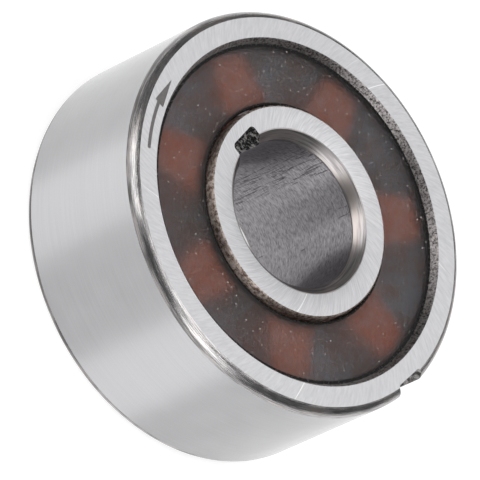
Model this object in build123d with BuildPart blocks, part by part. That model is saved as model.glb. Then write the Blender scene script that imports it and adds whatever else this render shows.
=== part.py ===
from build123d import *

import os
from math import cos, radians, sin, sqrt, tan

# A shielded one-way bearing: two ball races with a keyway in each ring, and one row in which
# balls and sprags take turns in a moulded crown cage. Lengths are millimetres, angles degrees.
# The axis is +Z, the rings stand on Z = 0, and the face that carries the arrow looks up.

# Boundary sizes
bore_diameter = 8.0
outer_diameter = 22.0
ring_width = 9.0
ring_corner = 0.4  # rounding between a ring's face and the surface that takes the shaft or housing
land_edge = 0.06  # broken edge of the other rim of each face

# Keyways, through the whole width
inner_key_width = 2.0
inner_key_depth = 1.0  # beyond the bore
inner_key_corner = 0.28
inner_key_angle = 275.0
outer_key_width = 2.0
outer_key_depth = 0.6  # below the outer diameter
outer_key_corner = 0.22
outer_key_angle = 90.0

# Ball row
ball_diameter = 3.969
ball_count = 7
first_ball_angle = 20.914
race_play = 0.03  # from a ball or a locked sprag to each race
groove_conformity = 0.52  # groove radius as a share of the ball diameter
inner_groove_depth = 0.295
outer_groove_depth = 0.365

# Sprags: the two cams of a profile are arcs whose centres are offset, so that it grows as it tilts
cam_radius = 2.0
strut_angle = 4.0  # lean of the line between the two contacts when locked
sprag_tilt = 7.0  # from locked back to overrunning
sprag_head_width = 1.42
sprag_waist_width = 1.06
sprag_flank = 0.42  # straight side of each head
sprag_edge = 0.1
sprag_end_play = 0.06

# Garter springs, in a notch near each end of the sprags
spring_coil_diameter = 0.5
spring_inset = 0.6  # from the outer race to the middle of the coil
spring_play = 0.08  # from the coil to the sides of its notch
spring_end_land = 0.25  # stays on the sprag beyond the notch
notch_slope = 10.0  # lifts the loaded shoulder of the notch
notch_play = 0.03

# Cage: a base ring behind the balls, and posts that reach forward between them
cage_race_gap = 0.27
cage_shield_gap = 0.25
cage_base_thickness = 0.48
cage_tip_thickness = 0.42
cage_post_width = 2.66  # on the pitch circle
cage_post_taper = 6.5  # lean of each side, so that a post is wider at the inner race
cage_cup_depth = 0.45  # how far the base rises round the back of a ball
cage_pocket_play = 0.05
cage_window_width = 1.86
cage_lead_in = 0.13  # narrows the tips of the posts
cage_lead_in_height = 0.35
cage_edge = 0.1

# Shields, snapped under a lip on both sides
shield_depth = 0.4  # below the ring face
shield_thickness = 0.28
shield_inner_gap = 0.2
shield_edge = 0.07
shield_seat_play = 0.02
recess_step = 0.306  # mouth of the recess beyond the outer race
lip_step = 0.07  # narrowest point of the recess beyond the outer race
seat_step = 0.4  # bottom of the shield's groove beyond the outer race

# Worked out from the sizes above
bore_radius = bore_diameter / 2
outer_radius = outer_diameter / 2
mid_height = ring_width / 2
ball_radius = ball_diameter / 2
pitch_radius = (bore_radius + outer_radius) / 2
groove_radius = groove_conformity * ball_diameter
inner_groove_floor = pitch_radius - ball_radius - race_play
outer_groove_floor = pitch_radius + ball_radius + race_play
inner_land_radius = inner_groove_floor + inner_groove_depth
outer_land_radius = outer_groove_floor - outer_groove_depth
lip_radius = outer_land_radius + lip_step
seat_radius = outer_land_radius + seat_step
seat_depth = shield_depth + shield_thickness + shield_seat_play

cage_inner_radius = inner_land_radius + cage_race_gap
cage_outer_radius = outer_land_radius - cage_race_gap
cage_back = shield_depth + shield_thickness + cage_shield_gap
cage_front = ring_width - cage_back
window_back = cage_back + cage_base_thickness
window_front = cage_front - cage_tip_thickness
cup_rim = mid_height - ball_radius + cage_cup_depth
half_post = cage_post_width / 2
post_flare = pitch_radius * tan(radians(cage_post_taper))

sprag_back = window_back + sprag_end_play
sprag_front = window_front - sprag_end_play
sprag_radius = (inner_land_radius + outer_land_radius) / 2
notch_width = spring_coil_diameter + 2 * spring_play
notch_inset = spring_end_land + notch_width / 2
spring_radius = outer_land_radius - spring_inset
spring_inner_radius = spring_radius - spring_coil_diameter / 2
spring_heights = {"back": sprag_back + notch_inset, "front": sprag_front - notch_inset}

step_angle = 360 / ball_count
ball_angles = [first_ball_angle + step_angle * place for place in range(ball_count)]
sprag_angles = [angle - step_angle / 2 for angle in ball_angles]

os.makedirs("parts", exist_ok=True)


def save(piece, name):
    piece.part.label = name
    export_step(piece.part, f"parts/{name}.step")


# Inner ring
with BuildPart() as inner_ring:
    with BuildSketch(Plane.XZ) as inner_section:
        with Locations(((bore_radius + inner_land_radius) / 2, mid_height)):
            Rectangle(inner_land_radius - bore_radius, ring_width)
        fillet(inner_section.vertices().group_by(Axis.X)[0], radius=ring_corner)
        chamfer(inner_section.vertices().group_by(Axis.X)[-1], length=land_edge)
        with Locations((inner_groove_floor + groove_radius, mid_height)):
            Circle(groove_radius, mode=Mode.SUBTRACT)
    revolve(axis=Axis.Z)
    with BuildSketch() as inner_key:
        with PolarLocations(bore_radius, 1, start_angle=inner_key_angle):
            Rectangle(2 * inner_key_depth, inner_key_width)
        fillet(inner_key.vertices().sort_by_distance((0, 0))[-2:], radius=inner_key_corner)
    extrude(amount=ring_width, mode=Mode.SUBTRACT)
save(inner_ring, "inner_ring")

# Outer ring
with BuildPart() as outer_ring:
    with BuildSketch(Plane.XZ) as outer_section:
        with Locations(((outer_land_radius + outer_radius) / 2, mid_height)):
            Rectangle(outer_radius - outer_land_radius, ring_width)
        fillet(outer_section.vertices().group_by(Axis.X)[-1], radius=ring_corner)
        with Locations((outer_groove_floor - groove_radius, mid_height)):
            Circle(groove_radius, mode=Mode.SUBTRACT)
        # The recess tapers in to the lip and opens again into the shield's groove.
        for face_height, inward in ((0, 1), (ring_width, -1)):
            with BuildLine():
                Polyline(
                    (outer_land_radius, face_height),
                    (outer_land_radius + recess_step + land_edge, face_height),
                    (outer_land_radius + recess_step, face_height + inward * land_edge),
                    (lip_radius, face_height + inward * shield_depth),
                    (seat_radius, face_height + inward * shield_depth),
                    (seat_radius, face_height + inward * seat_depth),
                    (outer_land_radius, face_height + inward * seat_depth),
                    close=True,
                )
            make_face(mode=Mode.SUBTRACT)
    revolve(axis=Axis.Z)
    with BuildSketch() as outer_key:
        with PolarLocations(outer_radius, 1, start_angle=outer_key_angle):
            Rectangle(2 * outer_key_depth, outer_key_width)
        fillet(outer_key.vertices().sort_by_distance((0, 0))[:2], radius=outer_key_corner)
    extrude(amount=ring_width, mode=Mode.SUBTRACT)
save(outer_ring, "outer_ring")

# Shields
shield_faces = {"back": shield_depth, "front": ring_width - shield_depth - shield_thickness}
shield_inner_radius = inner_land_radius + shield_inner_gap
shield_outer_radius = seat_radius - shield_seat_play
for side, lower_face in shield_faces.items():
    with BuildPart() as shield:
        with BuildSketch(Plane.XZ) as shield_section:
            with Locations((shield_inner_radius, lower_face)):
                Rectangle(
                    shield_outer_radius - shield_inner_radius,
                    shield_thickness,
                    align=(Align.MIN, Align.MIN),
                )
            chamfer(shield_section.vertices(), length=shield_edge)
        revolve(axis=Axis.Z)
    save(shield, f"{side}_shield")

# Cage
with BuildPart() as cage:
    with BuildSketch(Plane.XY.offset(cage_back)):
        Circle(cage_outer_radius)
        Circle(cage_inner_radius, mode=Mode.SUBTRACT)
    extrude(amount=cup_rim - cage_back)
    chamfer(cage.faces().sort_by(Axis.Z)[0].edges(), length=cage_edge)
    with BuildSketch(Plane.XY.offset(cup_rim)):
        with PolarLocations(pitch_radius, ball_count, start_angle=sprag_angles[0]):
            Polygon(
                (-pitch_radius, -half_post - post_flare),
                (pitch_radius, post_flare - half_post),
                (pitch_radius, half_post - post_flare),
                (-pitch_radius, half_post + post_flare),
                align=None,
            )
        Circle(cage_outer_radius, mode=Mode.INTERSECT)
        Circle(cage_inner_radius, mode=Mode.SUBTRACT)
    extrude(amount=cage_front - cup_rim)
    tip_sides = cage.faces().group_by(Axis.Z)[-1].edges().filter_by(GeomType.LINE)
    chamfer(tip_sides, length=cage_lead_in, length2=cage_lead_in_height)
    # Cups for the balls
    with Locations((0, 0, mid_height)):
        with PolarLocations(pitch_radius, ball_count, start_angle=ball_angles[0]):
            Sphere(ball_radius + cage_pocket_play, mode=Mode.SUBTRACT)
    # Windows for the sprags
    with BuildSketch(Plane.XY.offset(window_back)):
        with PolarLocations(pitch_radius, ball_count, start_angle=sprag_angles[0]):
            Rectangle(cage_outer_radius, cage_window_width)
    extrude(amount=window_front - window_back, mode=Mode.SUBTRACT)
    # Grooves that let the garter springs pass through the posts
    for spring_height in spring_heights.values():
        with BuildSketch(Plane.XY.offset(spring_height - notch_width / 2)):
            Circle(cage_outer_radius + cage_race_gap)
            Circle(spring_inner_radius - notch_play, mode=Mode.SUBTRACT)
        extrude(amount=notch_width, mode=Mode.SUBTRACT)
save(cage, "cage")

# Garter springs
for side, spring_height in spring_heights.items():
    with BuildPart() as garter_spring:
        with Locations((0, 0, spring_height)):
            Torus(spring_radius, spring_coil_diameter / 2)
    save(garter_spring, f"garter_spring_{side}")

# Balls
for number, angle in enumerate(ball_angles, start=1):
    ball_centre = Vector(pitch_radius, 0, mid_height).rotate(Axis.Z, angle)
    with BuildPart() as ball:
        with Locations(ball_centre):
            Sphere(ball_radius)
    save(ball, f"ball_{number}")

# Sprags, as they stand when locked. In the profile's plane +X points clockwise round the ring
# and +Y outwards, and a sprag tips clockwise about its middle to let the races overrun.
sprag_height = outer_land_radius - inner_land_radius - 2 * race_play
cam_rise = cam_radius - sprag_height / 2  # each cam's centre lies this far beyond the middle
cam_shift = sprag_height * tan(radians(strut_angle)) / 2
half_head = sprag_head_width / 2
half_waist = sprag_waist_width / 2


def cam_height(across):
    """Height of the outer cam above the middle of the profile."""
    return sqrt(cam_radius**2 - (across - cam_shift) ** 2) - cam_rise


high_corner = cam_height(half_head)
low_corner = cam_height(-half_head)
notch_shoulder = sqrt(spring_inner_radius**2 - half_head**2) - sprag_radius - notch_play
notch_floor = notch_shoulder - half_head * tan(radians(notch_slope))

for number, angle in enumerate(sprag_angles, start=1):
    outwards = Vector(cos(radians(angle)), sin(radians(angle)), 0)
    clockwise = Vector(outwards.Y, -outwards.X, 0)
    locked_plane = Plane(origin=outwards * sprag_radius, x_dir=clockwise, z_dir=(0, 0, 1))
    # The notch just clears the spring when the sprag is tipped back fully.
    notch_plane = locked_plane.rotated((0, 0, sprag_tilt))
    with BuildPart() as sprag:
        with BuildSketch(locked_plane.offset(sprag_back)) as profile:
            with BuildLine():
                ThreePointArc(
                    (-half_head, low_corner),
                    (cam_shift, cam_radius - cam_rise),
                    (half_head, high_corner),
                )
                Line((half_head, high_corner), (half_head, high_corner - sprag_flank))
                ThreePointArc(
                    (half_head, high_corner - sprag_flank),
                    (half_waist, 0),
                    (half_head, sprag_flank - low_corner),
                )
                Line((half_head, sprag_flank - low_corner), (half_head, -low_corner))
                ThreePointArc(
                    (half_head, -low_corner),
                    (-cam_shift, cam_rise - cam_radius),
                    (-half_head, -high_corner),
                )
                Line((-half_head, -high_corner), (-half_head, sprag_flank - high_corner))
                ThreePointArc(
                    (-half_head, sprag_flank - high_corner),
                    (-half_waist, 0),
                    (-half_head, low_corner - sprag_flank),
                )
                Line((-half_head, low_corner - sprag_flank), (-half_head, low_corner))
            make_face()
            cam_corners = sorted(profile.vertices(), key=lambda corner: abs(corner.Y))[-4:]
            fillet(cam_corners, radius=sprag_edge)
        extrude(amount=sprag_front - sprag_back)
        for spring_height in spring_heights.values():
            with BuildSketch(notch_plane.offset(spring_height - notch_width / 2)):
                with Locations(Location((0, notch_floor), -notch_slope)):
                    Rectangle(2 * sprag_head_width, sprag_height, align=(Align.CENTER, Align.MIN))
            extrude(amount=notch_width, mode=Mode.SUBTRACT)
    save(sprag, f"sprag_{number}")
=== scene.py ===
import math

import bmesh
import bpy
from mathutils import Matrix, Quaternion, Vector


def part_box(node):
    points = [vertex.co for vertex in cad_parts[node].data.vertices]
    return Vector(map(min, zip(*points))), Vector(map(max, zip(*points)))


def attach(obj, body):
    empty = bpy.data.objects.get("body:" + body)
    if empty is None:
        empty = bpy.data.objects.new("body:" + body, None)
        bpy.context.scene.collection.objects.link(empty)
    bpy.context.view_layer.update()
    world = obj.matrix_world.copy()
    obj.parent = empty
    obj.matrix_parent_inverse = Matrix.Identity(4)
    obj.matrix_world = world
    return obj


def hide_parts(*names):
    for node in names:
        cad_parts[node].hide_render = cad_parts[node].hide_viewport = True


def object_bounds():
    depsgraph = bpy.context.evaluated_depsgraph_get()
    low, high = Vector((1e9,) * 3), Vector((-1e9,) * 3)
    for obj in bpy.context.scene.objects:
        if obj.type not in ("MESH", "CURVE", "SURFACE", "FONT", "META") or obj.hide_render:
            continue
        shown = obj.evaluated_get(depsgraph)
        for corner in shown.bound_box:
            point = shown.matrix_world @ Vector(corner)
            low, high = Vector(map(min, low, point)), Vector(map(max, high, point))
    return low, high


# A shielded one-way bearing, dressed over its solids. Pieces are modelled in millimetres about
# the bearing's axis, and each is scaled to metres once, when it is finished.

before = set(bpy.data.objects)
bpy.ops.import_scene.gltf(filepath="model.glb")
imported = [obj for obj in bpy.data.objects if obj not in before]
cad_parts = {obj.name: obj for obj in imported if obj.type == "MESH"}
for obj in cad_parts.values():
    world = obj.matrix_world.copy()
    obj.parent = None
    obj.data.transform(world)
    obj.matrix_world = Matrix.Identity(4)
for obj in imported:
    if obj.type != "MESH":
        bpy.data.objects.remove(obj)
cadLow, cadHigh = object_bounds()
scene = bpy.context.scene
mmPerMetre = 1000
ringWidth = (cadHigh.z - cadLow.z) * mmPerMetre
ringMiddle = ringWidth / 2
print("frame loaded, rings", round(ringWidth, 2), "mm wide")


def linear(hexCode):
    # sRGB hex to the linear colour that shaders and lamps take
    parts = [int(hexCode[i:i + 2], 16) / 255 for i in (1, 3, 5)]
    return [p / 12.92 if p <= 0.04045 else ((p + 0.055) / 1.055) ** 2.4 for p in parts] + [1.0]


def metres(sizeMm):
    return sizeMm / mmPerMetre


def grainScale(sizeMm):
    # Object coordinates are metres, so this gives one cell for each sizeMm
    return mmPerMetre / sizeMm


def drawnScale(sizeMm):
    # the same for cells of one size round or across a ring and another along the axis
    level, upright = grainScale(sizeMm[0]), grainScale(sizeMm[1])
    return level, level, upright


def addNode(tree, kind, inputs=None, **settings):
    node = tree.nodes.new(kind)
    for name, value in settings.items():
        setattr(node, name, value)
    for name, value in (inputs or {}).items():
        if isinstance(value, bpy.types.NodeSocket):
            tree.links.new(value, node.inputs[name])
        else:
            node.inputs[name].default_value = value
    return node


def newMaterial(name):
    material = bpy.data.materials.new(name)
    material.use_nodes = True
    tree = material.node_tree
    tree.nodes.clear()
    return material, tree


def polar(radius, degrees, height=0.0):
    turn = math.radians(degrees)
    return Vector((radius * math.cos(turn), radius * math.sin(turn), height))


def direction(azimuth, elevation):
    # unit vector, from degrees round the axis and above the floor
    level = math.cos(math.radians(elevation))
    return Vector((level * math.cos(math.radians(azimuth)),
                   level * math.sin(math.radians(azimuth)),
                   math.sin(math.radians(elevation))))


def finishPiece(bm, name, body, materials, nodes, smoothAngle=28):
    # turns the bmesh into a piece in metres that stands for its CAD nodes and rides on a body
    bmesh.ops.scale(bm, vec=(1 / mmPerMetre,) * 3, verts=bm.verts)
    mesh = bpy.data.meshes.new(name)
    bm.to_mesh(mesh)
    bm.free()
    for material in materials:
        mesh.materials.append(material)
    mesh.shade_smooth()
    mesh.set_sharp_from_angle(angle=math.radians(smoothAngle))
    piece = bpy.data.objects.new(name, mesh)
    scene.collection.objects.link(piece)
    weighted = piece.modifiers.new("flat faces stay flat", "WEIGHTED_NORMAL")
    weighted.keep_sharp = True
    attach(piece, body)
    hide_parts(*nodes)


turning = dict(stepsPerRadian=9, segmentsPerMm=22, weldMm=0.0005)


def turnedRing(corners, roundings, arcs, steps):
    # a closed outline of (radius, height) corners turned once about the axis; a rounding reaches
    # so far along the face and so far along the axis, and an arc sweeps about its middle from
    # its corner to the next
    bm = bmesh.new()
    points = [bm.verts.new((radius, 0, height)) for radius, height in corners]
    for index, point in enumerate(points):
        if index in arcs:
            middle, sweep = arcs[index]
            bmesh.ops.spin(bm, geom=[point], cent=(middle[0], 0, middle[1]), axis=(0, 1, 0),
                           angle=sweep,
                           steps=max(6, round(abs(sweep) * turning["stepsPerRadian"])))
        else:
            bm.edges.new((point, points[(index + 1) % len(points)]))
    for index, (across, along) in roundings.items():
        corner = points[index].co.copy()
        rounded = bmesh.ops.bevel(bm, geom=[points[index]], offset=across, offset_type="OFFSET",
                                  segments=max(2, round(across * turning["segmentsPerMm"])),
                                  profile=0.5, affect="VERTICES", material=-1)
        bmesh.ops.scale(bm, vec=(1, 1, along / across), space=Matrix.Translation(-corner),
                        verts=rounded["verts"])
    bmesh.ops.remove_doubles(bm, verts=bm.verts, dist=turning["weldMm"])
    bmesh.ops.spin(bm, geom=bm.edges[:], cent=(0, 0, 0), axis=(0, 0, 1), angle=math.tau,
                   steps=steps, use_merge=True)
    bmesh.ops.recalc_face_normals(bm, faces=bm.faces)
    return bm


def formedCorner(radius, corner, low):
    # the arc a form tool leaves between a cylinder and a face that is ground afterwards: it runs
    # into the cylinder and breaks off at the face
    across, along = corner
    bend = (across ** 2 + along ** 2) / (2 * across)
    height = along if low else ringWidth - along
    return (radius - bend, height), -2 * math.atan(across / along)


# millimetres within which a face counts as being on a surface, and how upright a level one is
near = dict(face=0.001, wall=0.003, key=0.004, step=0.01, level=0.999)


def looseObject(bm, name):
    mesh = bpy.data.meshes.new(name)
    bm.to_mesh(mesh)
    bm.free()
    loose = bpy.data.objects.new(name, mesh)
    scene.collection.objects.link(loose)
    return loose


def cutAway(bm, cutters):
    # takes each cutter's shape out of the piece and hands the result back as a bmesh
    blank = looseObject(bm, "blank")
    tools = [looseObject(cutter, "cutter") for cutter in cutters]
    for tool in tools:
        cut = blank.modifiers.new("cut", "BOOLEAN")
        cut.operation = "DIFFERENCE"
        cut.solver = "EXACT"
        cut.object = tool
    evaluated = blank.evaluated_get(bpy.context.evaluated_depsgraph_get())
    result = bmesh.new()
    result.from_mesh(evaluated.to_mesh())
    for loose in [blank, *tools]:
        bpy.data.objects.remove(loose)
    return result


keyBar = dict(overrun=2.0, reach=3.0, segments=8)


def keyCutter(key):
    # a bar through the whole width, its two floor edges rounded
    bm = bmesh.new()
    bmesh.ops.create_cube(bm, size=1)
    bmesh.ops.scale(bm, vec=(keyBar["reach"], key["width"], ringWidth + keyBar["overrun"]),
                    verts=bm.verts)
    floorSide = 1 if key["floorRadius"] > key["openRadius"] else -1
    shift = key["floorRadius"] - floorSide * keyBar["reach"] / 2
    bmesh.ops.translate(bm, vec=(shift, 0, ringMiddle), verts=bm.verts)
    floorEdges = [e for e in bm.edges
                  if all(abs(v.co.x - key["floorRadius"]) < near["step"] for v in e.verts)
                  and abs(e.verts[0].co.z - e.verts[1].co.z) > ringWidth]
    bmesh.ops.bevel(bm, geom=floorEdges, offset=key["cornerRadius"], offset_type="OFFSET",
                    segments=keyBar["segments"], profile=0.5, affect="EDGES", material=-1)
    turn = Matrix.Rotation(math.radians(key["angle"]), 4, "Z")
    bmesh.ops.transform(bm, matrix=turn, verts=bm.verts)
    return bm


def inKeyway(at, key):
    # true for a point, in millimetres, on the walls or the floor of a keyway; a bore has curved
    # back by mouthDrop where it meets the walls
    local = Matrix.Rotation(math.radians(-key["angle"]), 3, "Z") @ at
    if key["floorRadius"] > key["openRadius"]:
        low, high = key["openRadius"] - key["mouthDrop"], key["floorRadius"] + near["key"]
    else:
        low, high = key["floorRadius"] - near["key"], key["openRadius"]
    return abs(local.y) < key["width"] / 2 + near["key"] and low < local.x < high


def sortFaces(bm, ring, finishFor, finishes):
    # gives each face the finish that belongs where its middle lies
    slots = list(finishes)
    for face in bm.faces:
        level = abs(face.normal.z) > near["level"]
        face.material_index = slots.index(finishFor(face.calc_center_median(), level, ring))


def aroundAxis(tree, coordinates):
    # the distance from the axis, and the direction round it
    flat = addNode(tree, "ShaderNodeVectorMath", {0: coordinates, 1: (1, 1, 0)},
                   operation="MULTIPLY").outputs[0]
    radius = addNode(tree, "ShaderNodeVectorMath", {0: flat}, operation="LENGTH").outputs["Value"]
    around = addNode(tree, "ShaderNodeVectorMath", {0: flat}, operation="NORMALIZE").outputs[0]
    return radius, around


steelTones = dict(
    ground="#bfbfc1",
    groundLow="#b8b8ba",
    # long scratches on a ground face, painted lighter as a painted glint
    scratch="#e6e5e5",
    # the dark of the painted shade on one side of a turned corner
    scale="#5a5757",
    straw="#b09484",
    reamed="#cac7cb",
    reamedLow="#868387",
    score="#2e2c2d",
    lapped="#cfcfd1",
    mark="#807c7c",
    markLow="#5b5858",
)
# real grinding lines are about 0.01 mm apart; all of these are as coarse as they must be to show
outsideGrinding = dict(strokeMm=(5, 0.08), blotchMm=1.3, dentMm=(2.4, 0.16),
                       polishRange=(0.34, 0.37), oil=0.9)


def groundOutside():
    # hardened bearing steel, centreless ground: fine lines run round the cylinder and spread
    # each reflection along the axis, so a lamp shows as a soft band from rim to rim, and a skin
    # of preserving oil brightens it where it curves out of sight
    material, tree = newMaterial("bearing_steel_centreless_ground")
    coordinates = addNode(tree, "ShaderNodeTexCoord").outputs["Object"]
    strokes = addNode(tree, "ShaderNodeMapping", {
        "Vector": coordinates, "Scale": drawnScale(outsideGrinding["strokeMm"])}).outputs[0]
    fineLines = addNode(tree, "ShaderNodeTexNoise", {
        "Vector": strokes, "Scale": 1.0, "Detail": 4.0, "Roughness": 0.6}).outputs[0]
    tone = addNode(tree, "ShaderNodeMapRange", {
        "Value": fineLines, "From Min": 0.3, "From Max": 0.7}).outputs[0]
    colour = addNode(tree, "ShaderNodeMix", {
        "Factor": tone, "A": linear(steelTones["groundLow"]), "B": linear(steelTones["ground"])},
        data_type="RGBA")
    blotches = addNode(tree, "ShaderNodeTexNoise", {
        "Vector": coordinates, "Scale": grainScale(outsideGrinding["blotchMm"]),
        "Detail": 2.0}).outputs[0]
    smooth, dull = outsideGrinding["polishRange"]
    polish = addNode(tree, "ShaderNodeMapRange", {
        "Value": blotches, "From Min": 0.3, "From Max": 0.7,
        "To Min": smooth, "To Max": dull}).outputs[0]
    marks = addNode(tree, "ShaderNodeMapping", {
        "Vector": coordinates, "Rotation": (0.5, 0.3, 0),
        "Scale": drawnScale(outsideGrinding["dentMm"])}).outputs[0]
    scratches = addNode(tree, "ShaderNodeTexNoise", {
        "Vector": marks, "Scale": 1.0, "Detail": 2.0}).outputs[0]
    dent = addNode(tree, "ShaderNodeMapRange", {
        "Value": scratches, "From Min": 0.74, "From Max": 0.78, "To Max": 8.0}).outputs[0]
    height = addNode(tree, "ShaderNodeMath", {0: fineLines, 1: dent},
                     operation="SUBTRACT").outputs[0]
    bump = addNode(tree, "ShaderNodeBump", {
        "Height": height, "Strength": 0.25, "Distance": metres(0.0008)}).outputs[0]
    tangent = addNode(tree, "ShaderNodeTangent", direction_type="RADIAL", axis="Z").outputs[0]
    shader = addNode(tree, "ShaderNodeBsdfPrincipled", {
        "Base Color": colour.outputs["Result"], "Metallic": 1.0, "Roughness": polish,
        "Anisotropic": 1.0, "Anisotropic Rotation": 0.25, "Tangent": tangent, "Normal": bump,
        "Coat Weight": outsideGrinding["oil"], "Coat Roughness": 0.12, "Coat IOR": 1.5})
    addNode(tree, "ShaderNodeOutputMaterial", {"Surface": shader.outputs[0]})
    return material


# a stroke has this width on that radius, again some ten times a real one's
faceStrokes = dict(widthMm=0.11, atRadius=8)


def groundFace(name, lowTone, highTone, slant, strokeMm, depth, polishRange):
    # the same steel, face ground: short strokes lie across the ring's face at a slant, and a
    # few long scratches are painted lighter, a painted glint
    material, tree = newMaterial(name)
    coordinates = addNode(tree, "ShaderNodeTexCoord").outputs["Object"]
    radius, around = aroundAxis(tree, coordinates)
    sweep = addNode(tree, "ShaderNodeMath", {0: radius, 1: slant * mmPerMetre},
                    operation="MULTIPLY").outputs[0]
    turned = addNode(tree, "ShaderNodeVectorRotate", {
        "Vector": around, "Axis": (0, 0, 1), "Angle": sweep},
        rotation_type="AXIS_ANGLE").outputs[0]
    strokesRound = faceStrokes["atRadius"] / faceStrokes["widthMm"]
    across = addNode(tree, "ShaderNodeVectorMath", {0: turned, "Scale": strokesRound},
                     operation="SCALE").outputs[0]
    outwards = addNode(tree, "ShaderNodeMath", {0: radius, 1: grainScale(strokeMm)},
                       operation="MULTIPLY").outputs[0]
    lift = addNode(tree, "ShaderNodeCombineXYZ", {"Z": outwards}).outputs[0]
    place = addNode(tree, "ShaderNodeVectorMath", {0: across, 1: lift}).outputs[0]
    strokes = addNode(tree, "ShaderNodeTexNoise", {
        "Vector": place, "Scale": 1.0, "Detail": 3.0, "Roughness": 0.6}).outputs[0]
    long = addNode(tree, "ShaderNodeVectorMath", {0: place, 1: (1.0, 1.0, 0.12)},
                   operation="MULTIPLY").outputs[0]
    deep = addNode(tree, "ShaderNodeTexNoise", {
        "Vector": long, "Scale": 0.8, "Detail": 1.0}).outputs[0]
    scratch = addNode(tree, "ShaderNodeMapRange", {
        "Value": deep, "From Min": 0.75, "From Max": 0.78, "To Max": 0.8}).outputs[0]
    tone = addNode(tree, "ShaderNodeMapRange", {
        "Value": strokes, "From Min": 0.32, "From Max": 0.68}).outputs[0]
    base = addNode(tree, "ShaderNodeMix", {
        "Factor": tone, "A": linear(lowTone), "B": linear(highTone)},
        data_type="RGBA").outputs["Result"]
    # the scratches painted lighter: a painted glint
    colour = addNode(tree, "ShaderNodeMix", {
        "Factor": scratch, "A": base, "B": linear(steelTones["scratch"])}, data_type="RGBA")
    polish = addNode(tree, "ShaderNodeMapRange", {
        "Value": strokes, "From Min": 0.3, "From Max": 0.7,
        "To Min": polishRange[0], "To Max": polishRange[1]}).outputs[0]
    bump = addNode(tree, "ShaderNodeBump", {
        "Height": strokes, "Strength": depth, "Distance": metres(0.006)}).outputs[0]
    shader = addNode(tree, "ShaderNodeBsdfPrincipled", {
        "Base Color": colour.outputs["Result"], "Metallic": 1.0, "Roughness": polish,
        "Normal": bump})
    addNode(tree, "ShaderNodeOutputMaterial", {"Surface": shader.outputs[0]})
    return material


# painted shade on one side of a turned corner: the side it faces, its spread, and the depths it
# fades between
cornerShade = dict(angle=-38, spread=52, fromDepth=0.24, toDepth=0.38)
toolLines = dict(widthMm=0.09, lean=2.5, patchMm=(2.6, 0.4))  # lean keeps them along the corner


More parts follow.
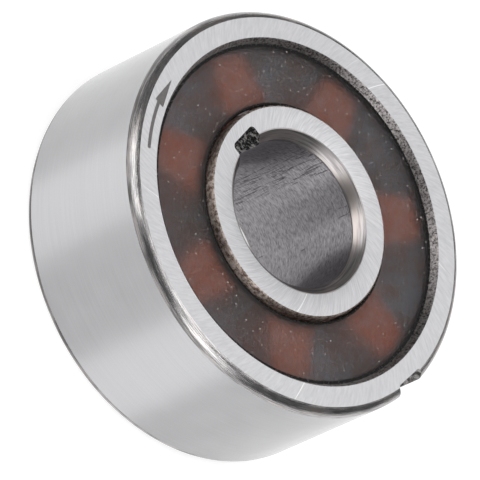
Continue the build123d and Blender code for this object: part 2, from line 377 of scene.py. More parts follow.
def tumbledCorner(name, darkTone, lightTone, roughness, strokes):
    # left as turned, then hardened and tumbled: tool lines run round it in so many strokes; on one
    # side its lower part, away from the face, is painted darker in uneven patches as painted
    # shade, and its rim by the face is left lighter
    material, tree = newMaterial(name)
    coordinates = addNode(tree, "ShaderNodeTexCoord").outputs["Object"]
    radius, around = aroundAxis(tree, coordinates)
    height = addNode(tree, "ShaderNodeSeparateXYZ", {0: coordinates}).outputs["Z"]
    fromMiddle = addNode(tree, "ShaderNodeMath", {0: height, 1: metres(ringMiddle)},
                         operation="SUBTRACT").outputs[0]
    outside = addNode(tree, "ShaderNodeMath", {0: fromMiddle}, operation="ABSOLUTE").outputs[0]
    wide = addNode(tree, "ShaderNodeMath", {0: radius, 1: toolLines["lean"]},
                   operation="MULTIPLY").outputs[0]
    alongArc = addNode(tree, "ShaderNodeMath", {0: wide, 1: height},
                       operation="SUBTRACT").outputs[0]
    spaced = addNode(tree, "ShaderNodeMath", {0: alongArc, 1: grainScale(toolLines["widthMm"])},
                     operation="MULTIPLY").outputs[0]
    lift = addNode(tree, "ShaderNodeCombineXYZ", {"Z": spaced}).outputs[0]
    across = addNode(tree, "ShaderNodeVectorMath", {0: around, "Scale": strokes / math.tau},
                     operation="SCALE").outputs[0]
    lines = addNode(tree, "ShaderNodeVectorMath", {0: across, 1: lift}).outputs[0]
    streaks = addNode(tree, "ShaderNodeTexNoise", {
        "Vector": lines, "Scale": 1.0, "Detail": 2.0, "Roughness": 0.6}).outputs[0]
    stretches = addNode(tree, "ShaderNodeMapping", {
        "Vector": coordinates, "Scale": drawnScale(toolLines["patchMm"])}).outputs[0]
    patches = addNode(tree, "ShaderNodeTexNoise", {
        "Vector": stretches, "Scale": 1.0, "Detail": 3.0}).outputs[0]
    mixed = addNode(tree, "ShaderNodeMath", {0: streaks, 1: patches}).outputs[0]
    rough = addNode(tree, "ShaderNodeMapRange", {
        "Value": mixed, "From Min": 0.88, "From Max": 1.12}).outputs[0]
    base = addNode(tree, "ShaderNodeMix", {
        "Factor": rough, "A": linear(darkTone), "B": linear(lightTone)},
        data_type="RGBA").outputs["Result"]
    facing = addNode(tree, "ShaderNodeVectorMath", {
        0: around, 1: direction(cornerShade["angle"], 0)},
        operation="DOT_PRODUCT").outputs["Value"]
    side = addNode(tree, "ShaderNodeMapRange", {
        "Value": facing, "From Min": math.cos(math.radians(cornerShade["spread"])),
        "From Max": math.cos(math.radians(cornerShade["spread"] * 0.75))}).outputs[0]
    low = addNode(tree, "ShaderNodeMapRange", {
        "Value": outside, "From Min": metres(ringMiddle - cornerShade["toDepth"]),
        "From Max": metres(ringMiddle - cornerShade["fromDepth"]),
        "To Min": 1.0, "To Max": 0.0}).outputs[0]
    uneven = addNode(tree, "ShaderNodeMapRange", {
        "Value": mixed, "From Min": 0.8, "From Max": 1.15, "To Min": 1.0, "To Max": 0.45}
    ).outputs[0]
    lowSide = addNode(tree, "ShaderNodeMath", {0: side, 1: low}, operation="MULTIPLY").outputs[0]
    sideShade = addNode(tree, "ShaderNodeMath", {0: lowSide, 1: uneven},
                     operation="MULTIPLY").outputs[0]
    tint = addNode(tree, "ShaderNodeMapRange", {
        "Value": patches, "From Min": 0.52, "From Max": 0.72, "To Max": 0.25}).outputs[0]
    warm = addNode(tree, "ShaderNodeMix", {
        "Factor": tint, "A": base, "B": linear(steelTones["straw"])},
        data_type="RGBA").outputs["Result"]
    # the painted shade, darker low down on one side of the corner
    colour = addNode(tree, "ShaderNodeMix", {
        "Factor": sideShade, "A": warm, "B": linear(steelTones["scale"])},
        data_type="RGBA").outputs["Result"]
    bump = addNode(tree, "ShaderNodeBump", {
        "Height": streaks, "Strength": 0.7, "Distance": metres(0.014)}).outputs[0]
    shader = addNode(tree, "ShaderNodeBsdfPrincipled", {
        "Base Color": colour, "Metallic": 1.0, "Roughness": roughness, "Normal": bump})
    addNode(tree, "ShaderNodeOutputMaterial", {"Surface": shader.outputs[0]})
    return material


def grittySteel(name, darkTone, lightTone, grainMm, roughness, lay, liftMm,
                toneRange=(0.85, 1.15)):
    # turned or broached before hardening and never ground: scale in its grain, which sparkles
    # wherever a lamp is caught; lay spreads that light along the axis, as turning lines do
    material, tree = newMaterial(name)
    coordinates = addNode(tree, "ShaderNodeTexCoord").outputs["Object"]
    cells = addNode(tree, "ShaderNodeMapping", {
        "Vector": coordinates, "Scale": drawnScale((grainMm * 1.6, grainMm))}).outputs[0]
    grain = addNode(tree, "ShaderNodeTexNoise", {
        "Vector": cells, "Scale": 1.0, "Detail": 3.0, "Roughness": 0.7}).outputs[0]
    scale = addNode(tree, "ShaderNodeTexNoise", {
        "Vector": coordinates, "Scale": grainScale(grainMm * 3.5), "Detail": 3.0}).outputs[0]
    mixed = addNode(tree, "ShaderNodeMath", {0: grain, 1: scale}).outputs[0]
    tone = addNode(tree, "ShaderNodeMapRange", {
        "Value": mixed, "From Min": toneRange[0], "From Max": toneRange[1]}).outputs[0]
    colour = addNode(tree, "ShaderNodeMix", {
        "Factor": tone, "A": linear(darkTone), "B": linear(lightTone)},
        data_type="RGBA").outputs["Result"]
    bump = addNode(tree, "ShaderNodeBump", {
        "Height": grain, "Strength": 1.0, "Distance": metres(liftMm)}).outputs[0]
    tangent = addNode(tree, "ShaderNodeTangent", direction_type="RADIAL", axis="Z").outputs[0]
    shader = addNode(tree, "ShaderNodeBsdfPrincipled", {
        "Base Color": colour, "Metallic": 1.0, "Roughness": roughness, "Anisotropic": lay,
        "Anisotropic Rotation": 0.25, "Tangent": tangent, "Normal": bump})
    addNode(tree, "ShaderNodeOutputMaterial", {"Surface": shader.outputs[0]})
    return material


boreSkin = dict(pebbleMm=(0.26, 0.08), roughness=0.37)
boreWear = dict(angle=203, spread=17, streakMm=(0.09, 1.6))


def reamedBore():
    # bearing steel, bore reamed and lightly honed: a fine pebbled skin, and on one side wavy
    # scores along the axis where a shaft has been pressed through
    material, tree = newMaterial("bearing_steel_reamed_bore")
    coordinates = addNode(tree, "ShaderNodeTexCoord").outputs["Object"]
    around = aroundAxis(tree, coordinates)[1]
    pebbles = addNode(tree, "ShaderNodeMapping", {
        "Vector": coordinates, "Scale": drawnScale(boreSkin["pebbleMm"])}).outputs[0]
    skin = addNode(tree, "ShaderNodeTexNoise", {
        "Vector": pebbles, "Scale": 1.0, "Detail": 3.0, "Roughness": 0.6}).outputs[0]
    drawn = addNode(tree, "ShaderNodeMapping", {
        "Vector": coordinates, "Rotation": (0.12, 0.1, 0),
        "Scale": drawnScale(boreWear["streakMm"])}).outputs[0]
    streaks = addNode(tree, "ShaderNodeTexNoise", {
        "Vector": drawn, "Scale": 1.0, "Detail": 2.0, "Distortion": 0.8}).outputs[0]
    facing = addNode(tree, "ShaderNodeVectorMath", {
        0: around, 1: direction(boreWear["angle"], 0)}, operation="DOT_PRODUCT").outputs["Value"]
    worn = addNode(tree, "ShaderNodeMapRange", {
        "Value": facing, "From Min": math.cos(math.radians(boreWear["spread"])),
        "From Max": math.cos(math.radians(boreWear["spread"] / 2)), "To Max": 0.13}).outputs[0]
    raised = addNode(tree, "ShaderNodeMath", {0: streaks, 1: worn}).outputs[0]
    scratch = addNode(tree, "ShaderNodeMapRange", {
        "Value": raised, "From Min": 0.68, "From Max": 0.74}).outputs[0]
    deep = addNode(tree, "ShaderNodeMath", {0: scratch, 1: 2.0}, operation="MULTIPLY").outputs[0]
    height = addNode(tree, "ShaderNodeMath", {0: skin, 1: deep}, operation="SUBTRACT").outputs[0]
    tone = addNode(tree, "ShaderNodeMapRange", {
        "Value": skin, "From Min": 0.3, "From Max": 0.7}).outputs[0]
    base = addNode(tree, "ShaderNodeMix", {
        "Factor": tone, "A": linear(steelTones["reamedLow"]), "B": linear(steelTones["reamed"])},
        data_type="RGBA").outputs["Result"]
    shade = addNode(tree, "ShaderNodeMath", {0: scratch, 1: 0.55}, operation="MULTIPLY").outputs[0]
    colour = addNode(tree, "ShaderNodeMix", {
        "Factor": shade, "A": base, "B": linear(steelTones["score"])},
        data_type="RGBA").outputs["Result"]
    bump = addNode(tree, "ShaderNodeBump", {
        "Height": height, "Strength": 0.5, "Distance": metres(0.012)}).outputs[0]
    tangent = addNode(tree, "ShaderNodeTangent", direction_type="RADIAL", axis="Z").outputs[0]
    shader = addNode(tree, "ShaderNodeBsdfPrincipled", {
        "Base Color": colour, "Metallic": 1.0, "Roughness": boreSkin["roughness"],
        "Anisotropic": 1.0, "Anisotropic Rotation": 0.25, "Tangent": tangent, "Normal": bump})
    addNode(tree, "ShaderNodeOutputMaterial", {"Surface": shader.outputs[0]})
    return material


def polishedSteel(name, roughness):
    # superfinished or lapped bearing steel: close to a mirror, with a faint haze
    material, tree = newMaterial(name)
    coordinates = addNode(tree, "ShaderNodeTexCoord").outputs["Object"]
    haze = addNode(tree, "ShaderNodeTexNoise", {
        "Vector": coordinates, "Scale": grainScale(0.8), "Detail": 3.0}).outputs[0]
    polish = addNode(tree, "ShaderNodeMapRange", {
        "Value": haze, "From Min": 0.3, "From Max": 0.7,
        "To Min": roughness * 0.8, "To Max": roughness * 1.3}).outputs[0]
    shader = addNode(tree, "ShaderNodeBsdfPrincipled", {
        "Base Color": linear(steelTones["lapped"]), "Metallic": 1.0, "Roughness": polish})
    addNode(tree, "ShaderNodeOutputMaterial", {"Surface": shader.outputs[0]})
    return material


def etchedMark():
    # a mark etched into the ground face: a matt, flat grey
    material, tree = newMaterial("bearing_steel_etched_mark")
    coordinates = addNode(tree, "ShaderNodeTexCoord").outputs["Object"]
    grit = addNode(tree, "ShaderNodeTexNoise", {
        "Vector": coordinates, "Scale": grainScale(0.08), "Detail": 2.0}).outputs[0]
    colour = addNode(tree, "ShaderNodeMix", {
        "Factor": grit, "A": linear(steelTones["markLow"]), "B": linear(steelTones["mark"])},
        data_type="RGBA").outputs["Result"]
    shader = addNode(tree, "ShaderNodeBsdfPrincipled", {
        "Base Color": colour, "Metallic": 0.35, "Roughness": 0.6})
    addNode(tree, "ShaderNodeOutputMaterial", {"Surface": shader.outputs[0]})
    return material


cageLook = dict(dark="#984a26", light="#bd6a42", mottleMm=0.5)


def mouldedCage():
    # polyamide, injection moulded and amber brown: a soft sheen with a slight mottle
    material, tree = newMaterial("polyamide_moulded_brown")
    coordinates = addNode(tree, "ShaderNodeTexCoord").outputs["Object"]
    mottle = addNode(tree, "ShaderNodeTexNoise", {
        "Vector": coordinates, "Scale": grainScale(cageLook["mottleMm"]),
        "Detail": 3.0}).outputs[0]
    colour = addNode(tree, "ShaderNodeMix", {
        "Factor": mottle, "A": linear(cageLook["dark"]), "B": linear(cageLook["light"])},
        data_type="RGBA").outputs["Result"]
    bump = addNode(tree, "ShaderNodeBump", {
        "Height": mottle, "Strength": 0.3, "Distance": metres(0.02)}).outputs[0]
    shader = addNode(tree, "ShaderNodeBsdfPrincipled", {
        "Base Color": colour, "Roughness": 0.5, "Normal": bump})
    addNode(tree, "ShaderNodeOutputMaterial", {"Surface": shader.outputs[0]})
    return material


# between these radii the film is clear; beyond them it is painted near black, as painted shade
filmShape = dict(clearFrom=6.05, clearTo=9.02, rimBlur=0.05, outerFace=4.0)
filmDust = dict(spacing=0.42, share=0.35, bloomMm=0.1, smearMm=1.1, rimSpeckleMm=0.11)
# the darkest tone is the painted shade on the film's two rims
filmTones = dict(cool="#c9d4de", warm="#c2aea6", dust="#cdc7c3", rimShade="#0f0d0d",
                 shadow="#c4c0be")


def frostedShield():
    # polyamide film with a frosted surface: what lies behind shows only as soft shapes, dust
    # speckles its outer face, and its two rims are painted near black as painted shade, with small
    # breaks
    material, tree = newMaterial("polyamide_film_frosted")
    coordinates = addNode(tree, "ShaderNodeTexCoord").outputs["Object"]
    radius = aroundAxis(tree, coordinates)[0]
    specks = addNode(tree, "ShaderNodeTexVoronoi", {
        "Vector": coordinates, "Scale": grainScale(filmDust["spacing"])},
        voronoi_dimensions="2D", feature="F1")
    speck = addNode(tree, "ShaderNodeMapRange", {
        "Value": specks.outputs["Distance"], "From Min": 0.055, "From Max": 0.125,
        "To Min": 1.0, "To Max": 0.0}).outputs[0]
    chance = addNode(tree, "ShaderNodeSeparateColor", {0: specks.outputs["Color"]})
    kept = addNode(tree, "ShaderNodeMath", {0: chance.outputs[0], 1: 1 - filmDust["share"]},
                   operation="GREATER_THAN").outputs[0]
    faint = addNode(tree, "ShaderNodeMath", {0: kept, 1: chance.outputs[1]},
                    operation="MULTIPLY").outputs[0]
    height = addNode(tree, "ShaderNodeSeparateXYZ", {0: coordinates}).outputs["Z"]
    fromMiddle = addNode(tree, "ShaderNodeMath", {0: height, 1: metres(ringMiddle)},
                         operation="SUBTRACT").outputs[0]
    outside = addNode(tree, "ShaderNodeMath", {0: fromMiddle}, operation="ABSOLUTE").outputs[0]
    onTop = addNode(tree, "ShaderNodeMath", {0: outside, 1: metres(filmShape["outerFace"])},
                    operation="GREATER_THAN").outputs[0]
    lying = addNode(tree, "ShaderNodeMath", {0: speck, 1: faint}, operation="MULTIPLY").outputs[0]
    fine = addNode(tree, "ShaderNodeTexNoise", {
        "Vector": coordinates, "Scale": grainScale(filmDust["bloomMm"]), "Detail": 2.0}).outputs[0]
    bloom = addNode(tree, "ShaderNodeMapRange", {
        "Value": fine, "From Min": 0.5, "From Max": 0.75, "To Max": 0.14}).outputs[0]
    settled = addNode(tree, "ShaderNodeMath", {0: lying, 1: bloom}, operation="MAXIMUM").outputs[0]
    dust = addNode(tree, "ShaderNodeMath", {0: settled, 1: onTop},
                   operation="MULTIPLY").outputs[0]
    smear = addNode(tree, "ShaderNodeTexNoise", {
        "Vector": coordinates, "Scale": grainScale(filmDust["smearMm"]), "Detail": 6.0,
        "Roughness": 0.75}).outputs[0]
    mottle = addNode(tree, "ShaderNodeMapRange", {
        "Value": smear, "From Min": 0.35, "From Max": 0.65}).outputs[0]
    tint = addNode(tree, "ShaderNodeMix", {
        "Factor": mottle, "A": linear(filmTones["cool"]), "B": linear(filmTones["warm"])},
        data_type="RGBA").outputs["Result"]
    film = addNode(tree, "ShaderNodeBsdfPrincipled", {
        "Base Color": tint, "Roughness": 0.95, "IOR": 1.36,  # a thin veil, and soft shapes
        "Transmission Weight": 1.0}).outputs[0]
    grain = addNode(tree, "ShaderNodeBsdfPrincipled", {
        "Base Color": linear(filmTones["dust"]), "Roughness": 0.8}).outputs[0]
    dusty = addNode(tree, "ShaderNodeMixShader", {0: dust, 1: film, 2: grain}).outputs[0]
    outer = addNode(tree, "ShaderNodeMapRange", {
        "Value": radius, "From Min": metres(filmShape["clearTo"]),
        "From Max": metres(filmShape["clearTo"] + filmShape["rimBlur"])}).outputs[0]
    inner = addNode(tree, "ShaderNodeMapRange", {
        "Value": radius, "From Min": metres(filmShape["clearFrom"] - filmShape["rimBlur"]),
        "From Max": metres(filmShape["clearFrom"]), "To Min": 1.0, "To Max": 0.0}).outputs[0]
    rims = addNode(tree, "ShaderNodeMath", {0: outer, 1: inner}, operation="MAXIMUM").outputs[0]
    # small breaks in the painted shade on the rims
    rimSpeckle = addNode(tree, "ShaderNodeTexNoise", {
        "Vector": coordinates, "Scale": grainScale(filmDust["rimSpeckleMm"]), "Detail": 2.0}).outputs[0]
    shadeKept = addNode(tree, "ShaderNodeMapRange", {
        "Value": rimSpeckle, "From Min": 0.6, "From Max": 0.66, "To Min": 1.0, "To Max": 0.35}
    ).outputs[0]
    rim = addNode(tree, "ShaderNodeMath", {0: rims, 1: shadeKept}, operation="MULTIPLY").outputs[0]
    # painted shade: a near-black sheet over the rims
    rimShade = addNode(tree, "ShaderNodeBsdfPrincipled", {
        "Base Color": linear(filmTones["rimShade"]), "Roughness": 0.55,
        "Specular IOR Level": 0.2}).outputs[0]
    faced = addNode(tree, "ShaderNodeMixShader", {0: rim, 1: dusty, 2: rimShade}).outputs[0]
    clear = addNode(tree, "ShaderNodeBsdfTransparent", {
        "Color": linear(filmTones["shadow"])}).outputs[0]
    shadow = addNode(tree, "ShaderNodeLightPath").outputs["Is Shadow Ray"]
    surface = addNode(tree, "ShaderNodeMixShader", {0: shadow, 1: faced, 2: clear}).outputs[0]
    addNode(tree, "ShaderNodeOutputMaterial", {"Surface": surface})
    return material


outsideSteel = groundOutside()
faceSteel = groundFace(
    "bearing_steel_face_ground", lowTone="#b2b2b4", highTone="#c4c4c6", slant=0.06,
    strokeMm=0.6, depth=0.25, polishRange=(0.32, 0.38))
innerFaceSteel = groundFace(
    "bearing_steel_face_ground_inner", lowTone="#adadaf", highTone="#c9c9cb", slant=0.12,
    strokeMm=0.8, depth=0.4, polishRange=(0.32, 0.40))
cornerSteel = tumbledCorner(
    "bearing_steel_tumbled_corner", darkTone="#828080", lightTone="#b8b6b6", roughness=0.22,
    strokes=60)
chamferSteel = tumbledCorner(
    "bearing_steel_turned_chamfer", darkTone="#7f7b7b", lightTone="#a9a5a4", roughness=0.3,
    strokes=12)
recessSteel = grittySteel(
    "bearing_steel_turned_recess", darkTone="#2f2b2a", lightTone="#b4afae", grainMm=0.035,
    roughness=0.4, lay=1.0, liftMm=0.012, toneRange=(0.82, 1.15))
landSteel = grittySteel(
    "bearing_steel_turned_land", darkTone="#5f4f47", lightTone="#bfb2aa", grainMm=0.06,
    roughness=0.48, lay=0.9, liftMm=0.02)
outerKeySteel = grittySteel(
    "bearing_steel_broached_keyway", darkTone="#3c3938", lightTone="#a8a5a4", grainMm=0.09,
    roughness=0.4, lay=0, liftMm=0.04, toneRange=(0.88, 1.12))
innerKeySteel = grittySteel(
    "bearing_steel_broached_bore_keyway", darkTone="#0b0a0a", lightTone="#b5b2b0",
    grainMm=0.09, roughness=0.3, lay=0, liftMm=0.1, toneRange=(1.0, 1.14))
boreSteel = reamedBore()
racewaySteel = polishedSteel("bearing_steel_superfinished_raceway", roughness=0.16)
ballSteel = polishedSteel("bearing_steel_lapped_ball", roughness=0.06)
spragSteel = polishedSteel("bearing_steel_barrelled_sprag", roughness=0.36)
wireSteel = polishedSteel("spring_steel_drawn_wire", roughness=0.3)
markSteel = etchedMark()
cagePlastic = mouldedCage()
shieldPlastic = frostedShield()
print("materials ready")


ringSmoothAngle = 14  # just under a turned corner's, so the ground faces keep a crisp rim
outerRing = dict(
    radius=11.0,
    corner=(0.45, 0.56),
    faceEdge=9.46,
    mouth=9.40,
    lip=9.22,
    seat=9.55,
    land=9.15,
    lipDepth=0.4,
    seatDepth=0.7,
    landEdge=0.06,
    grooveRadius=2.064,
    grooveCentre=7.451,
    steps=288,
    key=dict(width=2.0, openRadius=11.0, floorRadius=10.4, cornerRadius=0.22, angle=90.0),
)
arrow = dict(
    shaftRadius=9.99,
    shaftWidth=0.2,
    tailAngle=310.6,
    innerBarb=(9.65, 295.2),
    outerBarb=(10.24, 294.2),
    tip=(9.88, 284.4),
    roundings=(0.07, 0.07, 0.12, 0.09),  # the barbs, the tip and the tail
    depth=0.012,
    overlap=1,  # degrees that the shaft runs on under the head
    shaftSteps=16,
    tipSegments=3,
    cutHeight=0.2,
)


def raceGroove(ring, inward):
    # half the groove's opening and the arc it sweeps, from where it meets the land
    reach = abs(ring["land"] - ring["grooveCentre"])
    half = math.sqrt(ring["grooveRadius"] ** 2 - reach ** 2)
    sweep = 2 * math.asin(half / ring["grooveRadius"])
    return half, sweep * (1 if inward else -1)


def arrowCutters(mark):
    # the shaft follows the ring, and the head is a flat triangle with its tip eased
    low = ringWidth - mark["depth"]
    shaft = bmesh.new()
    inner = shaft.verts.new(polar(mark["shaftRadius"] - mark["shaftWidth"] / 2,
                                  mark["tailAngle"], low))
    outer = shaft.verts.new(polar(mark["shaftRadius"] + mark["shaftWidth"] / 2,
                                  mark["tailAngle"], low))
    edge = shaft.edges.new((inner, outer))
    shaftAngle = mark["outerBarb"][1] - mark["tailAngle"] - mark["overlap"]
    bmesh.ops.spin(shaft, geom=[edge], cent=(0, 0, 0), axis=(0, 0, 1),
                   angle=math.radians(shaftAngle), steps=mark["shaftSteps"])
    head = bmesh.new()
    corners = [head.verts.new(polar(*mark[corner], low))
               for corner in ("innerBarb", "outerBarb", "tip")]
    head.faces.new(corners)
    for shape, point, size in zip((head, head, head, shaft, shaft), (*corners, inner, outer),
                                  (*mark["roundings"], mark["roundings"][3])):
        bmesh.ops.bevel(shape, geom=[point], offset=size, offset_type="OFFSET",
                        segments=mark["tipSegments"], profile=0.5, affect="VERTICES",
                        material=-1)
    for shape in (shaft, head):
        rise = bmesh.ops.extrude_face_region(shape, geom=shape.faces[:])
        tops = [v for v in rise["geom"] if isinstance(v, bmesh.types.BMVert)]
        bmesh.ops.translate(shape, vec=(0, 0, mark["cutHeight"]), verts=tops)
        bmesh.ops.recalc_face_normals(shape, faces=shape.faces)
    return [shaft, head]


def outerFinish(at, level, ring):
    # the finish of the outer ring at a place, read from the keyway and the outside inwards
    across, along = ring["corner"]
    radius, depth = at.xy.length, min(at.z, ringWidth - at.z)
    if not level and inKeyway(at, ring["key"]):
        return "keyway"
    if radius > ring["radius"] - near["wall"] and depth > along - near["step"]:
        return "outside"
    if level and depth < near["face"]:
        return "face"
    if level and radius > ring["faceEdge"]:
        return "mark"
    if radius > ring["radius"] - across - near["step"]:
        return "corner"
    if depth < ring["seatDepth"] + near["step"]:
        return "recess"
    return "raceway"


halfGroove, grooveSweep = raceGroove(outerRing, inward=True)
lowerSide = [
    (outerRing["land"], ringMiddle - halfGroove),
    (outerRing["land"], outerRing["seatDepth"]),
    (outerRing["seat"], outerRing["seatDepth"]),
    (outerRing["seat"], outerRing["lipDepth"]),
    (outerRing["lip"], outerRing["lipDepth"]),
    (outerRing["mouth"], outerRing["landEdge"]),
    (outerRing["faceEdge"], 0),
    (outerRing["radius"] - outerRing["corner"][0], 0),
    (outerRing["radius"], outerRing["corner"][1]),
]
outline = lowerSide + [(radius, ringWidth - height) for radius, height in reversed(lowerSide)]
last = len(lowerSide) - 1  # where the lower corner's arc has run into the cylinder
bm = turnedRing(outline, {}, {
    last - 1: formedCorner(outerRing["radius"], outerRing["corner"], low=True),
    last + 1: formedCorner(outerRing["radius"], outerRing["corner"], low=False),
    2 * last + 1: ((outerRing["grooveCentre"], ringMiddle), grooveSweep)}, outerRing["steps"])
bm = cutAway(bm, [keyCutter(outerRing["key"]), *arrowCutters(arrow)])
outerFinishes = dict(
    outside=outsideSteel,
    face=faceSteel,
    corner=cornerSteel,
    recess=recessSteel,
    keyway=outerKeySteel,
    raceway=racewaySteel,
    mark=markSteel,
)
sortFaces(bm, outerRing, outerFinish, outerFinishes)
finishPiece(bm, "outer_ring_turned", "outer", outerFinishes.values(),
            ["outer_ring"], smoothAngle=ringSmoothAngle)
print("outer ring done")


innerRing = dict(
    bore=4.0,
    corner=(0.45, 0.5),
    cornerEase=0.07,
    land=5.78,
    landEdge=(0.1, 0.16),
    grooveRadius=2.064,
    grooveCentre=7.549,
    steps=240,
    key=dict(width=2.0, openRadius=4.0, floorRadius=5.0, cornerRadius=0.28, angle=275.0,
             mouthDrop=0.14),
)
halfInner, innerSweep = raceGroove(innerRing, inward=False)


def innerFinish(at, level, ring):
    # the finish of the inner ring at a place, read from the keyway and the bore outwards
    across, along = ring["corner"]
    radius, depth = at.xy.length, min(at.z, ringWidth - at.z)
    if not level and inKeyway(at, ring["key"]):
        return "keyway"
    if radius < ring["bore"] + near["wall"] and depth > along - near["step"]:
        return "bore"
    if level and depth < near["face"]:
        return "face"
    if radius < ring["bore"] + across + ring["cornerEase"]:
        return "chamfer"
    if depth < ringMiddle - halfInner + near["face"]:
        return "land"
    return "raceway"


across, along = innerRing["corner"]
ease = (innerRing["cornerEase"], innerRing["cornerEase"])
outline = [
    (innerRing["bore"] + across, 0),
    (innerRing["land"], 0),
    (innerRing["land"], ringMiddle - halfInner),
    (innerRing["land"], ringMiddle + halfInner),
    (innerRing["land"], ringWidth),
    (innerRing["bore"] + across, ringWidth),
    (innerRing["bore"], ringWidth - along),
    (innerRing["bore"], along),
]
# the bore's corners are eased and the lands' rounded; the groove's arc starts at the third
bm = turnedRing(outline, {0: ease, 1: innerRing["landEdge"], 4: innerRing["landEdge"], 5: ease,
                          6: ease, 7: ease},
                {2: ((innerRing["grooveCentre"], ringMiddle), -innerSweep)}, innerRing["steps"])
bm = cutAway(bm, [keyCutter(innerRing["key"])])
innerFinishes = dict(
    bore=boreSteel,
    face=innerFaceSteel,
    chamfer=chamferSteel,
    land=landSteel,
    keyway=innerKeySteel,
    raceway=racewaySteel,
)
sortFaces(bm, innerRing, innerFinish, innerFinishes)
finishPiece(bm, "inner_ring_turned", "inner", innerFinishes.values(),
            ["inner_ring"], smoothAngle=ringSmoothAngle)
print("inner ring done")


shieldShape = dict(edge=(0.07, 0.07), bead=(0.12, 0.1), steps=160)


def pressedShield(node, name):
    # a flat washer with eased edges, its size taken from its node, and a bead along its hole,
    # which the film's painted shade makes near black
    low, high = (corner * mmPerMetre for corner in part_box(node))
    inner = min(v.co.xy.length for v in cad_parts[node].data.vertices) * mmPerMetre
    bead, edge = shieldShape["bead"], shieldShape["edge"]
    hole = inner - bead[0]
    bm = turnedRing([(hole, low.z), (high.x, low.z), (high.x, high.z), (hole, high.z)],
                    {0: bead, 1: edge, 2: edge, 3: bead}, {}, shieldShape["steps"])
    finishPiece(bm, name, "outer", [shieldPlastic], [node])


pressedShield("front_shield", "front_shield_film")
pressedShield("back_shield", "back_shield_film")
print("shields done")


def smoothCopy(node, name, body, material):
    # the node's own shape, its loose triangles joined so that it shades as one surface
    bm = bmesh.new()
    bm.from_mesh(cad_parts[node].data)
    bmesh.ops.remove_doubles(bm, verts=bm.verts, dist=metres(turning["weldMm"]))
    bmesh.ops.scale(bm, vec=(mmPerMetre,) * 3, verts=bm.verts)
    for face in bm.faces:
        face.material_index = 0
    finishPiece(bm, name, body, [material], [node])


smoothCopy("cage", "crown_cage", "cage", cagePlastic)
spragNames = sorted(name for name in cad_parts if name.startswith("sprag_"))
for node in spragNames:
    smoothCopy(node, node.replace("sprag", "sprag_cam"), node, spragSteel)
print("cage and", len(spragNames), "sprags done")


ballShape = dict(rings=24, segments=48, smoothAngle=60)
ballNames = sorted(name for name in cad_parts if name.startswith("ball_"))
for node in ballNames:
    low, high = (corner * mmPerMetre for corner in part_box(node))
    bm = bmesh.new()
    bmesh.ops.create_uvsphere(bm, u_segments=ballShape["segments"], v_segments=ballShape["rings"],
                              radius=(high.z - low.z) / 2)
    bmesh.ops.translate(bm, vec=(low + high) / 2, verts=bm.verts)
    finishPiece(bm, node.replace("ball", "lapped_ball"), node, [ballSteel], [node],
                smoothAngle=ballShape["smoothAngle"])
print(len(ballNames), "balls done")


garter = dict(wire=0.1, pitch=0.17, sides=5, stepsPerTurn=9, weldMm=0.001, smoothAngle=80)


def garterSpring(node, name):
    # one turn of wire repeated into a straight coil that just fills the node's ring, then bent
    low, high = (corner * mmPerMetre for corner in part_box(node))
    coil = high.z - low.z
    ringRadius = high.x - coil / 2
    turns = round(math.tau * ringRadius / garter["pitch"])
    bm = bmesh.new()
    bmesh.ops.create_circle(bm, segments=garter["sides"], radius=garter["wire"] / 2)
    stand = Matrix.Translation((coil / 2 - garter["wire"] / 2, 0, 0)) @ Matrix.Rotation(
        math.pi / 2, 4, "X")
    bmesh.ops.transform(bm, matrix=stand, verts=bm.verts)
    bmesh.ops.spin(bm, geom=bm.edges[:], cent=(0, 0, 0), axis=(0, 0, 1), angle=math.tau,
                   steps=garter["stepsPerTurn"],
                   dvec=(0, 0, garter["pitch"] / garter["stepsPerTurn"]))
    oneTurn = looseObject(bm, "one_turn")
    wound = oneTurn.modifiers.new("wound", "ARRAY")
    wound.count = turns
    wound.use_relative_offset = False
    wound.use_constant_offset = True
    wound.constant_offset_displace = (0, 0, garter["pitch"])
    bm = bmesh.new()
    bm.from_mesh(oneTurn.evaluated_get(bpy.context.evaluated_depsgraph_get()).to_mesh())
    bpy.data.objects.remove(oneTurn)
    length = turns * garter["pitch"]
    for v in bm.verts:  # the straight coil closes into a ring
        turn = math.tau * v.co.z / length
        out = ringRadius + v.co.x
        v.co = Vector((out * math.cos(turn), out * math.sin(turn), (low.z + high.z) / 2 + v.co.y))
    bmesh.ops.remove_doubles(bm, verts=bm.verts, dist=garter["weldMm"])
    bmesh.ops.recalc_face_normals(bm, faces=bm.faces)
    finishPiece(bm, name, "cage", [wireSteel], [node],
                smoothAngle=garter["smoothAngle"])


garterSpring("garter_spring_front", "garter_coil_front")
garterSpring("garter_spring_back", "garter_coil_back")
print("springs done")


studio = dict(
    floorSize=4.0,
    floorDrop=0.00002,  # clear of the rings' own faces
    floorTone="#a0a0a0",
    floorGlow=0.78,
    white="#ffffff",
    worldStrength=0.18,  # a dark room round the white table
)
bm = bmesh.new()
bmesh.ops.create_grid(bm, x_segments=1, y_segments=1, size=studio["floorSize"] / 2)
bmesh.ops.translate(bm, vec=(0, 0, -studio["floorDrop"]), verts=bm.verts)
floor = looseObject(bm, "floor")
material, tree = newMaterial("paper_white_sweep")  # seamless paper: matt, and lit from below
shader = addNode(tree, "ShaderNodeBsdfPrincipled", {
    "Base Color": linear(studio["floorTone"]), "Roughness": 0.9,
    "Emission Color": linear(studio["white"]), "Emission Strength": studio["floorGlow"]})
addNode(tree, "ShaderNodeOutputMaterial", {"Surface": shader.outputs[0]})
floor.data.materials.append(material)

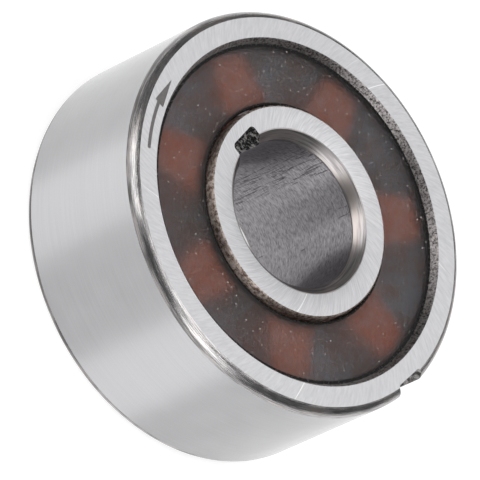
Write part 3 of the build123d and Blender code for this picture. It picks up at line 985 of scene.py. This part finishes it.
world = bpy.data.worlds.new("studio")
scene.world = world
world.use_nodes = True
world.node_tree.nodes.clear()
sky = addNode(world.node_tree, "ShaderNodeBackground", {
    "Color": linear(studio["white"]), "Strength": studio["worldStrength"]})
addNode(world.node_tree, "ShaderNodeOutputWorld", {"Surface": sky.outputs[0]})

cameraSetup = dict(azimuth=-11.33, elevation=45.6, roll=64.73, distance=0.3888, lens=560.5,
                   sensorWidth=36, aim=(0.0003687, -0.0000323, 0.0044758))
softboxes = dict(  # degrees, metres, and how bright each looks; lean tips it about its own middle
    left=dict(azimuth=-64.5, elevation=30, lean=11, distance=0.6, size=(0.40, 0.62), glow=2.3),
    right=dict(azimuth=28.5, elevation=30, lean=-7, distance=0.6, size=(0.38, 0.62), glow=2.4),
    overhead=dict(azimuth=125, elevation=83, lean=43, distance=0.6, size=(0.34, 0.56), glow=2.2),
    behind=dict(azimuth=163, elevation=43, lean=0, distance=0.7, size=(0.42, 0.38), glow=1.25),
)
aim = Vector(cameraSetup["aim"])
for name, box in softboxes.items():
    lamp = bpy.data.lights.new("softbox_" + name, "AREA")
    lamp.shape = "RECTANGLE"
    lamp.size, lamp.size_y = box["size"]
    lamp.energy = box["glow"] * math.pi * lamp.size * lamp.size_y
    holder = bpy.data.objects.new("softbox_" + name, lamp)
    holder.location = aim + direction(box["azimuth"], box["elevation"]) * box["distance"]
    facing = (aim - holder.location).to_track_quat("-Z", "Y")
    holder.rotation_mode = "QUATERNION"
    holder.rotation_quaternion = facing @ Quaternion((0, 0, 1), math.radians(box["lean"]))
    holder.visible_camera = False
    scene.collection.objects.link(holder)

back = direction(cameraSetup["azimuth"], cameraSetup["elevation"])
right = Vector((0, 0, 1)).cross(back).normalized()
upright = Matrix((right, back.cross(right), back)).transposed()
camera = bpy.data.objects.new("camera", bpy.data.cameras.new("camera"))
camera.data.sensor_width = cameraSetup["sensorWidth"]
camera.data.lens = cameraSetup["lens"]
camera.matrix_world = (
    Matrix.Translation(aim + back * cameraSetup["distance"])
    @ upright.to_4x4() @ Matrix.Rotation(math.radians(cameraSetup["roll"]), 4, "Z"))
scene.collection.objects.link(camera)
scene.camera = camera
scene.view_settings.view_transform = "Standard"
print("studio ready")
